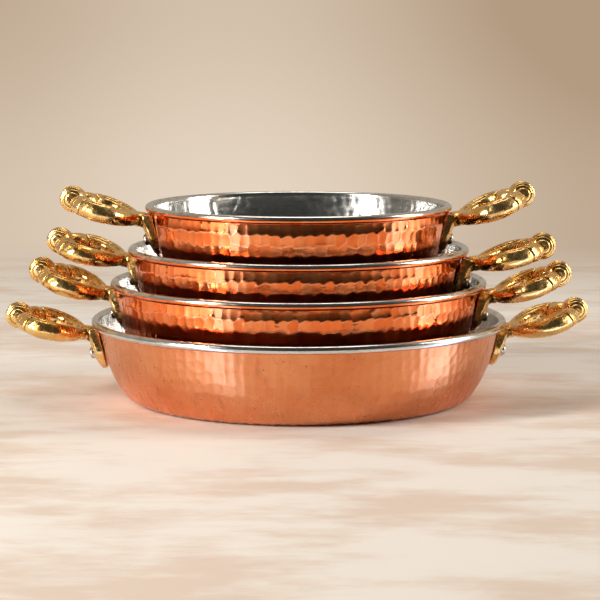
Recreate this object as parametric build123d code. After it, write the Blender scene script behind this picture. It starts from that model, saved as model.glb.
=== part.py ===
from build123d import *
import os
from dataclasses import dataclass
from math import atan2, cos, degrees, radians, sin, tan

# A nested set of four hammered copper pans with tinned insides.
# Each pan is a raised sheet shell whose rim is curled over a hidden steel wire,
# with two cast brass loop handles, each held by one rivet through its lug and the wall.
# The pans stand inside one another, each on the floor of the next larger one.
# The origin is the centre of the largest pan's underside, +Z up and +X to the right-hand handles.

# Sheet, rim roll and wall, the same on every pan
SHEET = 1.2
WIRE_RADIUS = 0.7
WIRE_CLEARANCE = 0.15
WALL_LEAN = 13.5
CURL_END = 115.0
BELLY_RADIUS = 60.0
BELLY_FOOT_LEAN = 37.0
FOOT_RADIUS = 8.0

# The set: the largest pan, then how far each smaller rim is drawn in and raised
LARGEST_RIM_RADIUS = 110.0
LARGEST_DEPTH = 41.0
SECOND_STEP_IN = 10.3
SECOND_RISE = 19.9
THIRD_STEP_IN = 9.45
THIRD_RISE = 17.6
SMALLEST_STEP_IN = 9.25
SMALLEST_RISE = 22.7

# How far each pan's handles are turned about +Z from the X axis, in degrees
LARGEST_TURN = 2.5
SECOND_TURN = -3.0
THIRD_TURN = -5.5
SMALLEST_TURN = 1.0

# How far each loop rises above level, in degrees: the castings are trued by hand and differ
LARGEST_RIGHT_TILT = 16.2
LARGEST_LEFT_TILT = 14.7
SECOND_RIGHT_TILT = 18.6
SECOND_LEFT_TILT = 19.2
THIRD_RIGHT_TILT = 14.5
THIRD_LEFT_TILT = 15.3
SMALLEST_RIGHT_TILT = 20.5
SMALLEST_LEFT_TILT = 16.5

# Lug, the tongue of the casting that lies against the wall
LUG_WIDTH = 22.0
LUG_TOP = 3.2
LUG_TIP = 26.0
LUG_ROOT_THICKNESS = 7.6
LUG_TIP_THICKNESS = 4.6
LUG_CROWN_RISE = 2.4
LUG_CLEARANCE = 0.1
LUG_SHOULDER_SHARE = 0.55
LUG_FLARE_SHARE = 0.4

# Neck, from the lug out under the rim to the loop
NECK_WIDTH = 14.0
NECK_HEIGHT = 8.0
NECK_REACH = 6.5
NECK_DROP = 5.9
NECK_NOSE = 3.5

# Loop of two branches that meet at a ribbed knob
LOOP_REACH = 38.0
LOOP_HALF_WIDTH = 22.5
LEAF_THICKNESS = 9.0
LEAF_HEIGHT = 9.6
BULB_RADIUS = 5.3
BULB_HALF_LENGTH = 7.6
KNOB_RADIUS = 7.2
KNOB_HALF_WIDTH = 8.0
KNOB_LIFT = 0.8
KNOB_RIBS = 7
KNOB_RIB_HEIGHT = 0.5

# Rivet, one through each lug
RIVET_DROP = 16.5
RIVET_RADIUS = 2.0
RIVET_CLEARANCE = 0.1
RIVET_HEAD_RADIUS = 3.1
RIVET_HEAD_HEIGHT = 2.5
RIVET_FOOT_RADIUS = 3.6
RIVET_FOOT_HEIGHT = 1.1
RIVET_FOOT_CLEARANCE = 0.2
SPOT_FACE_MARGIN = 0.4
SPOT_FACE_DEPTH = 0.7

# One overrun serves every cutting tool
OVERRUN = 2.0

# Leaf stations: place along the reach, place across the half width, thickness, height
LEAF_SHARES = [
    (0.12, 0.10, 0.74, 0.72),
    (0.26, 0.62, 0.80, 0.82),
    (0.42, 0.93, 0.98, 0.98),
    (0.60, 0.99, 1.06, 1.08),
    (0.75, 0.86, 1.04, 1.06),
    (0.84, 0.68, 0.90, 0.92),
]

# Bulb: place along the reach and across the half width
BULB_SHARES = (0.845, 0.565)

# Neck stations below the loop: out from the rim roll as a share of the reach, drop as a share of
# the neck's drop, heading above level in degrees, width and height as shares of the neck's
NECK_SHARES = [
    (-0.56, 1.90, 60, 1.04, 0.72),
    (-0.10, 1.28, 40, 1.00, 1.02),
    (0.38, 1.03, 16, 0.92, 1.04),
]

CURL_INNER_RADIUS = WIRE_RADIUS + WIRE_CLEARANCE
CURL_OUTER_RADIUS = CURL_INNER_RADIUS + SHEET
LEAN = radians(WALL_LEAN)
WALL_OUT = Vector(cos(LEAN), 0, -sin(LEAN))
WALL_UP = Vector(sin(LEAN), 0, cos(LEAN))


@dataclass
class Pan:
    """One pan of the set, standing at base_height, with its rim roll's centre at rim_height."""

    name: str
    rim_radius: float
    base_height: float
    rim_height: float
    turn: float
    right_tilt: float
    left_tilt: float

    def wire_radius(self):
        """Distance of the rim wire's centre from the pan's axis."""
        return self.rim_radius - CURL_OUTER_RADIUS


def nested_set():
    """The four pans, largest first, each standing on the floor of the one before."""
    steps = [
        ("largest", 0, 0, LARGEST_TURN, LARGEST_RIGHT_TILT, LARGEST_LEFT_TILT),
        ("second", SECOND_STEP_IN, SECOND_RISE, SECOND_TURN, SECOND_RIGHT_TILT, SECOND_LEFT_TILT),
        ("third", THIRD_STEP_IN, THIRD_RISE, THIRD_TURN, THIRD_RIGHT_TILT, THIRD_LEFT_TILT),
        ("smallest", SMALLEST_STEP_IN, SMALLEST_RISE, SMALLEST_TURN, SMALLEST_RIGHT_TILT, SMALLEST_LEFT_TILT),
    ]
    pans = []
    radius, height = LARGEST_RIM_RADIUS, LARGEST_DEPTH
    for below, (name, step_in, rise, *angles) in enumerate(steps):
        radius -= step_in
        height += rise
        pans.append(Pan(name, radius, below * SHEET, height, *angles))
    return pans


def turn_on(start, radius, heading_from, heading_to):
    """An arc that bends upwards from one heading to another, both in degrees from level."""

    def at(heading):
        first, now = radians(heading_from), radians(heading)
        out = start.X + radius * (sin(now) - sin(first))
        return Vector(out, start.Y + radius * (cos(first) - cos(now)))

    end = at(heading_to)
    return ThreePointArc(start, at((heading_from + heading_to) / 2), end), end


def wall_side(pan, offset, top):
    """Floor, foot, belly and straight wall of one side of the sheet, up to the point top."""
    foot_heading = 90 - BELLY_FOOT_LEAN
    belly_heading = 90 - WALL_LEAN
    foot, foot_end = turn_on(Vector(0, 0), FOOT_RADIUS - offset, 0, foot_heading)
    belly, belly_end = turn_on(foot_end, BELLY_RADIUS - offset, foot_heading, belly_heading)
    wall_height = top.Y - pan.base_height - offset - belly_end.Y
    wall_out = wall_height * tan(LEAN)
    corner = Vector(top.X - wall_out - belly_end.X, pan.base_height + offset)
    place = Pos(corner.X, corner.Y)
    floor = Line((0, corner.Y), corner)
    wall = Line(corner + belly_end, top)
    return [floor, place * foot, place * belly, wall]


def polar(centre, radius, angle):
    """The point at an angle, in degrees, round a centre."""
    return centre + Vector(radius * cos(radians(angle)), radius * sin(radians(angle)))


def curl_arc(centre, radius):
    """One side of the sheet where it rolls over the wire."""
    start = 180 - WALL_LEAN
    middle = (start - CURL_END) / 2
    points = [polar(centre, radius, angle) for angle in (start, middle, -CURL_END)]
    return ThreePointArc(*points), points[0], points[-1]


def pan_body(pan):
    """The sheet shell with its curled rim and a rivet hole under each handle."""
    centre = Vector(pan.wire_radius(), pan.rim_height)
    outer_curl, inside_top, outer_end = curl_arc(centre, CURL_OUTER_RADIUS)
    inner_curl, outside_top, inner_end = curl_arc(centre, CURL_INNER_RADIUS)
    outside = wall_side(pan, 0, outside_top)
    inside = wall_side(pan, SHEET, inside_top)
    axis_edge = Line((0, pan.base_height), (0, pan.base_height + SHEET))
    edges = outside + [inner_curl, Line(inner_end, outer_end), outer_curl] + inside + [axis_edge]
    shell = revolve(Plane.XZ * make_face(edges), Axis.Z, 360)
    reach = LUG_ROOT_THICKNESS + OVERRUN
    hole = rivet_axis() * Cylinder(RIVET_RADIUS + RIVET_CLEARANCE, 2 * reach)
    for place in handle_places(pan):
        shell -= place * hole
    return shell


def rim_wire(pan):
    """The closed ring of wire inside the rolled rim."""
    return Pos(0, 0, pan.rim_height) * Torus(pan.wire_radius(), WIRE_RADIUS)


def handle_places(pan):
    """Places of the right-hand and left-hand handles: the rim roll's outer edge, X outwards."""
    rim = Pos(pan.rim_radius, 0, pan.rim_height)
    return [Rot(0, 0, pan.turn) * rim, Rot(0, 0, pan.turn + 180) * rim]


def on_wall(drop):
    """The point of the wall's outer face that lies drop below the roll, along the wall."""
    roll_centre = Vector(-CURL_OUTER_RADIUS, 0, 0)
    return roll_centre - WALL_OUT * CURL_INNER_RADIUS - WALL_UP * drop


def rivet_axis():
    """Plane square to the wall at the rivet, with its origin on the wall's outer face."""
    return Plane(on_wall(RIVET_DROP), x_dir=(0, 1, 0), z_dir=WALL_OUT)


def lug_plane():
    """Plane of the lug's flat back, with its origin level with the roll and Y up the wall."""
    return Plane(on_wall(0) + WALL_OUT * LUG_CLEARANCE, x_dir=(0, 1, 0), z_dir=WALL_OUT)


def lug_thickness(drop):
    """Crown thickness of the lug, which thins from its root to its tip."""
    share = (drop - LUG_TOP) / (LUG_TIP - LUG_TOP)
    return LUG_ROOT_THICKNESS + (LUG_TIP_THICKNESS - LUG_ROOT_THICKNESS) * share


def lug_outline():
    """The tongue seen square on: narrow at the neck, widest below its middle, round at the tip."""
    half_width, half_neck = LUG_WIDTH / 2, NECK_WIDTH / 2
    middle = -LUG_TOP - (LUG_TIP - LUG_TOP) * LUG_SHOULDER_SHARE
    flare = (LUG_FLARE_SHARE, -1)
    shoulder = Spline((half_neck, -LUG_TOP), (half_width, middle), tangents=[flare, (0, -1)])
    tip = Spline((half_width, middle), (0, -LUG_TIP), tangents=[(0, -1), (-1, 0)])
    centre_line = Line((0, -LUG_TIP), (0, -LUG_TOP))
    right = make_face([shoulder, tip, centre_line, Line((0, -LUG_TOP), (half_neck, -LUG_TOP))])
    return right + mirror(right, Plane.YZ)


def lug():
    """The tongue: flat against the wall, crowned across outside, thinner towards the tip."""
    slab = extrude(lug_outline(), LUG_ROOT_THICKNESS)
    half_width = LUG_WIDTH / 2
    crown_radius = (half_width**2 + LUG_CROWN_RISE**2) / (2 * LUG_CROWN_RISE)
    taper = atan2(LUG_ROOT_THICKNESS - LUG_TIP_THICKNESS, LUG_TIP - LUG_TOP)
    barrel = Rot(90, 0, 0) * Cylinder(crown_radius, 2 * LUG_TIP + OVERRUN)
    sunk = Pos(0, 0, -crown_radius / cos(taper)) * Rot(degrees(taper), 0, 0) * barrel
    crown = Pos(0, -LUG_TOP, LUG_ROOT_THICKNESS) * sunk
    return lug_plane() * (slab & crown)


def oval(point, heading, thickness, height):
    """An oval section at a point, square to a heading, thickness across and height upwards."""
    across = Vector(0, 0, 1).cross(heading)
    plane = Plane(point, x_dir=across, z_dir=heading)
    return plane * Ellipse(thickness / 2, height / 2)


def outward(rise):
    """Unit heading away from the pan, raised by so many degrees."""
    return Vector(cos(radians(rise)), 0, sin(radians(rise)))


def neck(tilt):
    """The bend that carries the lug out under the rim and ends as a nose inside the loop."""
    sections = []
    for out_share, drop_share, heading, width_share, height_share in NECK_SHARES:
        centre = Vector(NECK_REACH * out_share, 0, -NECK_DROP * drop_share)
        sections.append(oval(centre, outward(heading), NECK_WIDTH * width_share, NECK_HEIGHT * height_share))
    end = Vector(NECK_REACH, 0, -NECK_DROP)
    nose = end + outward(tilt) * NECK_NOSE
    sections.append(oval(end, outward(tilt), NECK_WIDTH, NECK_HEIGHT))
    sections.append(oval(nose, outward(tilt), NECK_WIDTH / 2, NECK_HEIGHT / 2))
    behind_lug = Box(2 * NECK_WIDTH, 2 * LUG_TIP, 2 * NECK_HEIGHT, align=(Align.CENTER, Align.CENTER, Align.MAX))
    return loft(sections) - lug_plane() * behind_lug


def loop_height(tilt, reach):
    """Height of the loop's middle plane at a distance out from the rim."""
    return -NECK_DROP + (reach - NECK_REACH) * tan(radians(tilt))


def loop_point(tilt, out_share, side_share):
    """A point of the loop's middle plane, on the side of +Y."""
    reach = LOOP_REACH * out_share
    return Vector(reach, LOOP_HALF_WIDTH * side_share, loop_height(tilt, reach))


def leaf(tilt):
    """The long part of one branch, which leaves the neck, swells and draws in at a groove."""
    points = [loop_point(tilt, out_share, side_share) for out_share, side_share, _, _ in LEAF_SHARES]
    sections = []
    for place, (_, _, thickness_share, height_share) in enumerate(LEAF_SHARES):
        before, after = points[max(place - 1, 0)], points[min(place + 1, len(points) - 1)]
        heading = (after - before).normalized()
        size = (LEAF_THICKNESS * thickness_share, LEAF_HEIGHT * height_share)
        sections.append(oval(points[place], heading, *size))
    return loft(sections)


def bulb(tilt):
    """The egg-shaped end of one branch, between the leaf's groove and the knob."""
    centre = loop_point(tilt, *BULB_SHARES)
    knob_side = loop_point(tilt, 1, KNOB_HALF_WIDTH / LOOP_HALF_WIDTH)
    half = Ellipse(BULB_HALF_LENGTH, BULB_RADIUS) & Rectangle(
        2 * BULB_HALF_LENGTH, BULB_RADIUS, align=(Align.CENTER, Align.MIN))
    egg = revolve(half, Axis.X, 360)
    level = Vector(0, 0, 1).cross(knob_side - centre)
    return Plane(centre, x_dir=knob_side - centre, z_dir=level) * egg


def knob(tilt):
    """The ribbed barrel at the loop's outer end, turned about a level axis along the rim."""
    rib_width = 2 * KNOB_HALF_WIDTH / KNOB_RIBS
    full = 1 + rib_width / (2 * KNOB_HALF_WIDTH)

    def barrel(across):
        share = across / (KNOB_HALF_WIDTH * full)
        return (KNOB_RADIUS - KNOB_RIB_HEIGHT) * (1 - share**2) ** 0.5

    edges = []
    for rib in range(KNOB_RIBS):
        start = -KNOB_HALF_WIDTH + rib * rib_width
        middle, end = start + rib_width / 2, start + rib_width
        crest = Vector(middle, barrel(middle) + KNOB_RIB_HEIGHT)
        edges.append(ThreePointArc((start, barrel(start)), crest, (end, barrel(end))))
    side = barrel(KNOB_HALF_WIDTH)
    edges.append(Polyline((KNOB_HALF_WIDTH, side), (KNOB_HALF_WIDTH, 0), (-KNOB_HALF_WIDTH, 0),
                          (-KNOB_HALF_WIDTH, side)))
    turned = revolve(make_face(edges), Axis.X, 360)
    place = Vector(LOOP_REACH, 0, loop_height(tilt, LOOP_REACH) + KNOB_LIFT)
    return Pos(*place) * Rot(0, 0, 90) * turned


def handle(tilt):
    """The whole casting in its own frame, with its rivet hole and the rivet's seat."""
    branch = leaf(tilt) + bulb(tilt)
    casting = lug() + neck(tilt) + branch + mirror(branch, Plane.XZ) + knob(tilt)
    reach = LUG_ROOT_THICKNESS + OVERRUN
    casting -= rivet_axis() * Cylinder(RIVET_RADIUS + RIVET_CLEARANCE, 2 * reach)
    seat = Cylinder(RIVET_HEAD_RADIUS + SPOT_FACE_MARGIN, reach, align=(Align.CENTER, Align.CENTER, Align.MIN))
    casting -= rivet_axis() * Pos(0, 0, rivet_grip()) * seat
    return casting


def rivet_grip():
    """Distance from the wall's outer face to the seat that is faced into the lug's crown."""
    return LUG_CLEARANCE + lug_thickness(RIVET_DROP) - SPOT_FACE_DEPTH


def rivet():
    """A solid rivet: flat round head outside, shank through lug and wall, low foot inside."""
    seat = rivet_grip()
    head_top = seat + RIVET_HEAD_HEIGHT
    foot_top = -SHEET - RIVET_FOOT_CLEARANCE
    foot_end = foot_top - RIVET_FOOT_HEIGHT
    crown, dome = RIVET_HEAD_HEIGHT / 2, RIVET_FOOT_HEIGHT / 2
    corner = Vector(RIVET_HEAD_RADIUS - crown, head_top - crown)
    head = [polar(corner, crown, angle) for angle in (90, 45, 0)]
    dome_radius = (RIVET_FOOT_RADIUS**2 + dome**2) / (2 * dome)
    half_way = RIVET_FOOT_RADIUS / 2
    dome_middle = (half_way, foot_end + dome_radius - (dome_radius**2 - half_way**2) ** 0.5)
    foot_rim = (RIVET_FOOT_RADIUS, foot_end + dome)
    edges = [
        Polyline((0, foot_end), (0, head_top), head[0]),
        ThreePointArc(*head),
        Polyline(head[2], (RIVET_HEAD_RADIUS, seat), (RIVET_RADIUS, seat), (RIVET_RADIUS, foot_top),
                 (RIVET_FOOT_RADIUS, foot_top), foot_rim),
        ThreePointArc(foot_rim, dome_middle, (0, foot_end)),
    ]
    turned = revolve(Plane.XZ * make_face(edges), Axis.Z, 360)
    return rivet_axis() * turned


def parts_of_set():
    """Every piece of the set by node name, in place."""
    pin = rivet()
    pieces = {}
    for pan in nested_set():
        pieces[f"{pan.name}_pan_body"] = pan_body(pan)
        pieces[f"{pan.name}_pan_rim_wire"] = rim_wire(pan)
        right, left = handle_places(pan)
        for side, place, tilt in (("right", right, pan.right_tilt), ("left", left, pan.left_tilt)):
            pieces[f"{pan.name}_pan_{side}_handle"] = place * handle(tilt)
            pieces[f"{pan.name}_pan_{side}_rivet"] = place * pin
    return pieces


os.makedirs("parts", exist_ok=True)
for node, piece in parts_of_set().items():
    export_step(piece, f"parts/{node}.step")
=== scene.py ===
"""Looks of a nested set of four hammered copper pans with cast brass handles."""

import logging
from collections.abc import Callable, Iterator
from contextlib import contextmanager
from dataclasses import dataclass
from enum import Enum
from math import cos, pi, radians, sin, tan

import bpy
import numpy as np
from mathutils import Matrix, Vector, noise


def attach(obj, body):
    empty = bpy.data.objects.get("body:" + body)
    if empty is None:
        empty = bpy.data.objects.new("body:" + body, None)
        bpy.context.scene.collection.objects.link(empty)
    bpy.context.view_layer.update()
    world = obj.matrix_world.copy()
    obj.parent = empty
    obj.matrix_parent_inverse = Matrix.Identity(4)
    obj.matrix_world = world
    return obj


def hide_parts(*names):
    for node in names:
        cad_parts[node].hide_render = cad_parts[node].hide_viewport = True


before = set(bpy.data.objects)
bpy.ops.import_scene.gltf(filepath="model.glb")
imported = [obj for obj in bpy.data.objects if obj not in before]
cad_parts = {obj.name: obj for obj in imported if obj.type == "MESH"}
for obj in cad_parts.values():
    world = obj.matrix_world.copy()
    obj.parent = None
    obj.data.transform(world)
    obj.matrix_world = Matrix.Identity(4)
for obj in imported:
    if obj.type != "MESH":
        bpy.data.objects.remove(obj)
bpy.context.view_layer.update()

# Meshes are modelled in millimetres and brought to metres when they are placed
MM = 0.001
# Faces of one pan's sheet, which keep it under 200,000 triangles
MOST_QUADS = 98000
LOG = logging.getLogger("pans")

Rule = Callable[[np.ndarray], np.ndarray]
Colour = tuple[float, float, float]


class Side(Enum):
    """Side of a pan that a handle is on, with its turn from the X axis in degrees."""

    RIGHT = 0
    LEFT = 180


class Face(Enum):
    """Part of the sheet's section that a profile point lies on."""

    OUTSIDE = 0
    ROLL = 1
    INSIDE = 2


class Wire:
    """One output of a shader node, with Python's operators."""

    def __init__(self, shader: "Shader", socket: bpy.types.NodeSocket) -> None:
        """Keeps the shader and the socket."""
        self.shader = shader
        self.socket = socket

    def sum(self, operation: str, *values: "Wire | float") -> "Wire":
        """Adds a Math node.

        Args:
            operation: the node's operation.
            values: its inputs, in order.

        Returns:
            The node's output.
        """
        inputs = dict(enumerate(values))
        return self.shader.node("ShaderNodeMath", {"operation": operation}, inputs)

    def __add__(self, other: "Wire | float") -> "Wire":
        """Sum of two values."""
        return self.sum("ADD", self, other)

    def __sub__(self, other: "Wire | float") -> "Wire":
        """Difference of two values."""
        return self.sum("SUBTRACT", self, other)

    def __rsub__(self, other: float) -> "Wire":
        """Difference from a number."""
        return self.sum("SUBTRACT", other, self)

    def __mul__(self, other: "Wire | float") -> "Wire":
        """Product of two values."""
        return self.sum("MULTIPLY", self, other)

    __radd__ = __add__
    __rmul__ = __mul__

    def ramp(self, low: float, high: float, start: float = 0.0, end: float = 1.0) -> "Wire":
        """Smooth step of the value.

        Args:
            low: value at which the step starts.
            high: value at which it ends.
            start: result at and below low.
            end: result at and above high.

        Returns:
            The stepped value.
        """
        settings = {"interpolation_type": "SMOOTHSTEP"}
        return self.shader.node("ShaderNodeMapRange", settings, {0: self, 1: low, 2: high, 3: start, 4: end})


class Shader:
    """The node tree of one material or world while it is built."""

    def __init__(self, owner: bpy.types.Material | bpy.types.World) -> None:
        """Starts with an empty tree.

        Args:
            owner: the material or world that the tree belongs to.
        """
        owner.use_nodes = True
        self.owner = owner
        self.tree = owner.node_tree
        self.tree.nodes.clear()

    @classmethod
    def material(cls, name: str) -> "Shader":
        """Starts a new material of that name."""
        return cls(bpy.data.materials.new(name))

    def node(
        self, kind: str, settings: dict | None = None, inputs: dict | None = None, out: int | str = 0
    ) -> Wire:
        """Adds a node.

        Args:
            kind: the node's type.
            settings: its own settings, which are set first.
            inputs: values or links of its sockets, by name or number.
            out: the output that is wanted.

        Returns:
            That output.
        """
        made = self.tree.nodes.new(kind)
        for key, value in (settings or {}).items():
            setattr(made, key, value)
        for key, value in (inputs or {}).items():
            if isinstance(value, Wire):
                self.tree.links.new(value.socket, made.inputs[key])
            else:
                made.inputs[key].default_value = value
        return Wire(self, made.outputs[out])

    def place(self) -> Wire:
        """Object coordinates, in metres."""
        return self.node("ShaderNodeTexCoord", out="Object")

    def attribute(self, name: str) -> Wire:
        """A value that the mesh carries on its points."""
        return self.node("ShaderNodeAttribute", {"attribute_name": name}, out="Fac")

    def to_camera(self) -> Wire:
        """1 for what the camera sees itself, and 0 for reflections and light."""
        return self.node("ShaderNodeLightPath", out="Is Camera Ray")

    def axis(self, name: str, place: Wire) -> Wire:
        """One coordinate of a place or a direction."""
        return self.node("ShaderNodeSeparateXYZ", None, {0: place}, name)

    def vector(self, operation: str, *values: Wire | tuple, out: int | str = 0) -> Wire:
        """Adds a Vector Math node, with its inputs in order."""
        return self.node("ShaderNodeVectorMath", {"operation": operation}, dict(enumerate(values)), out)

    def stretch(self, place: Wire, scale: tuple[float, float, float]) -> Wire:
        """Coordinates scaled along each axis."""
        return self.node("ShaderNodeMapping", {"vector_type": "POINT"}, {"Vector": place, "Scale": scale})

    def noise(self, place: Wire, scale: float, detail: float = 2.0, rough: float = 0.5) -> Wire:
        """Noise, from 0 to 1, with so many grains to the metre."""
        inputs = {"Vector": place, "Scale": scale, "Detail": detail, "Roughness": rough}
        return self.node("ShaderNodeTexNoise", None, inputs)

    def spots(self, place: Wire, scale: float) -> Wire:
        """Distance to the nearest of scattered points, in grains."""
        return self.node("ShaderNodeTexVoronoi", None, {"Vector": place, "Scale": scale})

    def blend(self, share: Wire | float, first: Wire | Colour, second: Wire | Colour) -> Wire:
        """Mixes two colours.

        Args:
            share: share of the second colour.
            first: the colour at share 0.
            second: the colour at share 1.

        Returns:
            The mixed colour.
        """
        colours = [c if isinstance(c, Wire) else (*c, 1.0) for c in (first, second)]
        inputs = {0: share, 6: colours[0], 7: colours[1]}
        return self.node("ShaderNodeMix", {"data_type": "RGBA"}, inputs, out=2)

    def bump(self, height: Wire, depth: float) -> Wire:
        """Bumped normal of a height from 0 to 1, for a relief so many metres deep."""
        return self.node("ShaderNodeBump", None, {"Strength": 1.0, "Distance": depth, "Height": height})

    def mix(self, share: Wire, first: Wire, second: Wire) -> Wire:
        """Mixes two shaders."""
        return self.node("ShaderNodeMixShader", None, {0: share, 1: first, 2: second})

    def surface(self, output: str, wire: Wire) -> None:
        """Ends the tree in its output node."""
        end = self.tree.nodes.new(output)
        self.tree.links.new(wire.socket, end.inputs["Surface"])

    def metal(self, colour: Wire, rough: Wire, normal: Wire) -> bpy.types.Material:
        """Ends a metal.

        Args:
            colour: its base colour.
            rough: its roughness.
            normal: its normal.

        Returns:
            The finished material.
        """
        inputs = {"Base Color": colour, "Roughness": rough, "Normal": normal, "Metallic": 1.0}
        self.surface("ShaderNodeOutputMaterial", self.node("ShaderNodeBsdfPrincipled", None, inputs))
        return self.owner


@dataclass(frozen=True)
class CopperFinish:
    """Hammered copper outside, tin inside and on the roll, with painted glints along the hammer marks'
    ridges and grains counted to the metre.
    """

    name: str
    bright: Colour = (0.93, 0.29, 0.105)
    red: Colour = (0.86, 0.19, 0.05)
    # Painted highlight: a pale colour laid along the ridges between hammer marks as glints
    ridge: Colour = (0.98, 0.58, 0.42)
    stain: Colour = (0.32, 0.09, 0.045)
    tin: Colour = (0.70, 0.71, 0.70)
    tin_dark: Colour = (0.34, 0.31, 0.29)
    polish: float = 0.10
    tin_polish: float = 0.14
    pits: float = 0.0
    ridge_glint_show: float = 0.40
    tone_share: float = 0.4
    stain_show: float = 0.3
    tin_dark_show: float = 0.7
    wear_spread: float = 0.9
    cloud_grains: float = 26.0
    smear_grains: float = 190.0
    skin_grains: float = 1500.0
    pit_grains: float = 210.0
    pit_field_grains: float = 60.0
    edge_grains: float = 330.0
    streak_grains: float = 120.0
    relief: float = 0.00006

    def make(self) -> bpy.types.Material:
        """Builds the material.

        Returns:
            The material, for a mesh with the attributes tin, tone and ridge.
        """
        s = Shader.material(self.name)
        place = s.place()
        clouds = s.noise(place, self.cloud_grains, 3.0)
        smears = s.noise(s.stretch(place, (1.0, 1.0, 0.25)), self.smear_grains, 3.0, 0.6)
        skin = s.noise(place, self.skin_grains, 2.0)
        shade = clouds * (1 - self.tone_share) + s.attribute("tone") * self.tone_share
        copper = s.blend(shade.ramp(0.3, 0.7), self.bright, self.red)
        # Painted highlight: the copper is lightened along the marks' ridges
        copper = s.blend(s.attribute("ridge").ramp(0.45, 0.95, 0.0, self.ridge_glint_show), copper, self.ridge)
        copper = s.blend(smears.ramp(0.52, 0.80, 0.0, self.stain_show), copper, self.stain)
        pitted = s.noise(place, self.pit_field_grains).ramp(0.5, 0.62)
        pit = s.spots(place, self.pit_grains).ramp(0.05, 0.16, 1.0, 0.0) * pitted
        copper = s.blend(pit * self.pits, copper, self.stain)
        edge = s.noise(s.stretch(place, (1.0, 1.0, 2.5)), self.edge_grains, 3.0, 0.6)
        wear = s.attribute("tin") + (edge - 0.5) * self.wear_spread
        tinned = wear.ramp(0.40, 0.60)
        streaks = s.noise(s.stretch(place, (1.0, 1.0, 3.0)), self.streak_grains, 4.0, 0.65)
        tin = s.blend(streaks.ramp(0.45, 0.75, 0.0, self.tin_dark_show), self.tin, self.tin_dark)
        colour = s.blend(tinned, copper, tin)
        rough = smears.ramp(0.3, 0.8, self.polish, self.polish + 0.10)
        tin_rough = streaks.ramp(0.3, 0.8, self.tin_polish, self.tin_polish + 0.12)
        rough = rough + (tin_rough - rough) * tinned + pit * (0.3 * self.pits)
        height = skin * 0.35 + smears * 0.65 - pit * (0.8 * self.pits)
        return s.metal(colour, rough, s.bump(height, self.relief))


@dataclass(frozen=True)
class BrassFinish:
    """Polished cast brass, brown in its hollows."""

    name: str = "cast_brass"
    gold: Colour = (0.93, 0.62, 0.25)
    deep: Colour = (0.76, 0.43, 0.115)
    brown: Colour = (0.17, 0.085, 0.025)
    polish: float = 0.20
    cloud_grains: float = 90.0
    skin_grains: float = 420.0
    fine_grains: float = 1900.0
    relief: float = 0.00009

    def make(self) -> bpy.types.Material:
        """Builds the material.

        Returns:
            The material, for a mesh with the attribute hollow.
        """
        s = Shader.material(self.name)
        place = s.place()
        clouds = s.noise(place, self.cloud_grains, 3.0)
        skin = s.noise(place, self.skin_grains, 3.0, 0.6)
        fine = s.noise(place, self.fine_grains, 2.0)
        hollow = s.attribute("hollow")
        colour = s.blend(clouds.ramp(0.35, 0.7), self.gold, self.deep)
        dirt = (hollow + (skin - 0.5) * 0.5).ramp(0.15, 0.7)
        colour = s.blend(dirt, colour, self.brown)
        rough = skin.ramp(0.3, 0.75, self.polish, self.polish + 0.14) + dirt * 0.25
        return s.metal(colour, rough, s.bump(skin * 0.85 + fine * 0.15, self.relief))


@dataclass(frozen=True)
class PlainMetalFinish:
    """A turned or drawn metal with a fine grain."""

    name: str
    light: Colour
    dark: Colour
    polish: float
    cloud_grains: float = 500.0
    fine_grains: float = 2600.0
    relief: float = 0.0001

    def make(self) -> bpy.types.Material:
        """Builds the material.

        Returns:
            The material, for any mesh.
        """
        s = Shader.material(self.name)
        place = s.place()
        clouds = s.noise(place, self.cloud_grains, 3.0, 0.6)
        fine = s.noise(place, self.fine_grains, 2.0)
        colour = s.blend(clouds.ramp(0.45, 0.7), self.light, self.dark)
        rough = clouds.ramp(0.3, 0.8, self.polish, self.polish + 0.2)
        return s.metal(colour, rough, s.bump(clouds * 0.7 + fine * 0.3, self.relief))


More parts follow.
